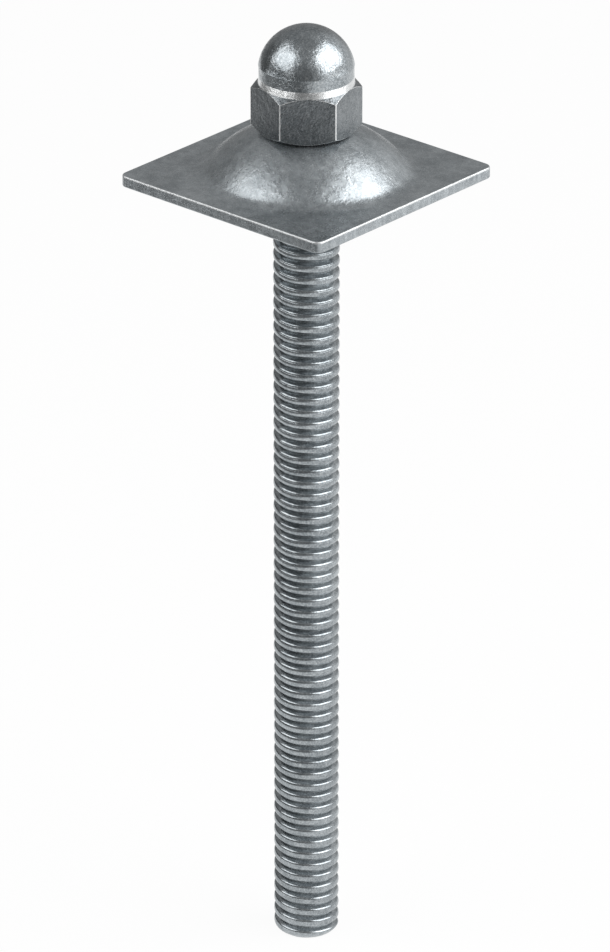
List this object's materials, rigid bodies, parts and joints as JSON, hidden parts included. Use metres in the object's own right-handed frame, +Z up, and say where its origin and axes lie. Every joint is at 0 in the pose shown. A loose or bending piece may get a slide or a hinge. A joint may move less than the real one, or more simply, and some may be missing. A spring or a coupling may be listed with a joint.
{
  "type": "rock bolt",
  "caption": "Rock bolt: threaded steel bar with a square dished bearing plate held under a domed hexagon cap nut.",
  "frame": {"origin": "centre of the bar's cut foot, on the surface that the bolt stands on", "axes": "+Z up the bar towards the nut; the plate's sides lie along X and Y, so its corners point along the diagonals"},
  "size_m": [0.1, 0.1, 0.38],
  "materials": {
    "bar_steel": "zinc coated, satin, faint mottling",
    "plate_steel": "zinc coated, satin, fine speckle",
    "nut_steel": "zinc coated, half bright, fine speckle and scratches"
  },
  "bodies": {
    "root": {"threaded_bar": "bar_steel", "bearing_plate": "plate_steel", "domed_cap_nut": "nut_steel"}
  },
  "joints": []
}
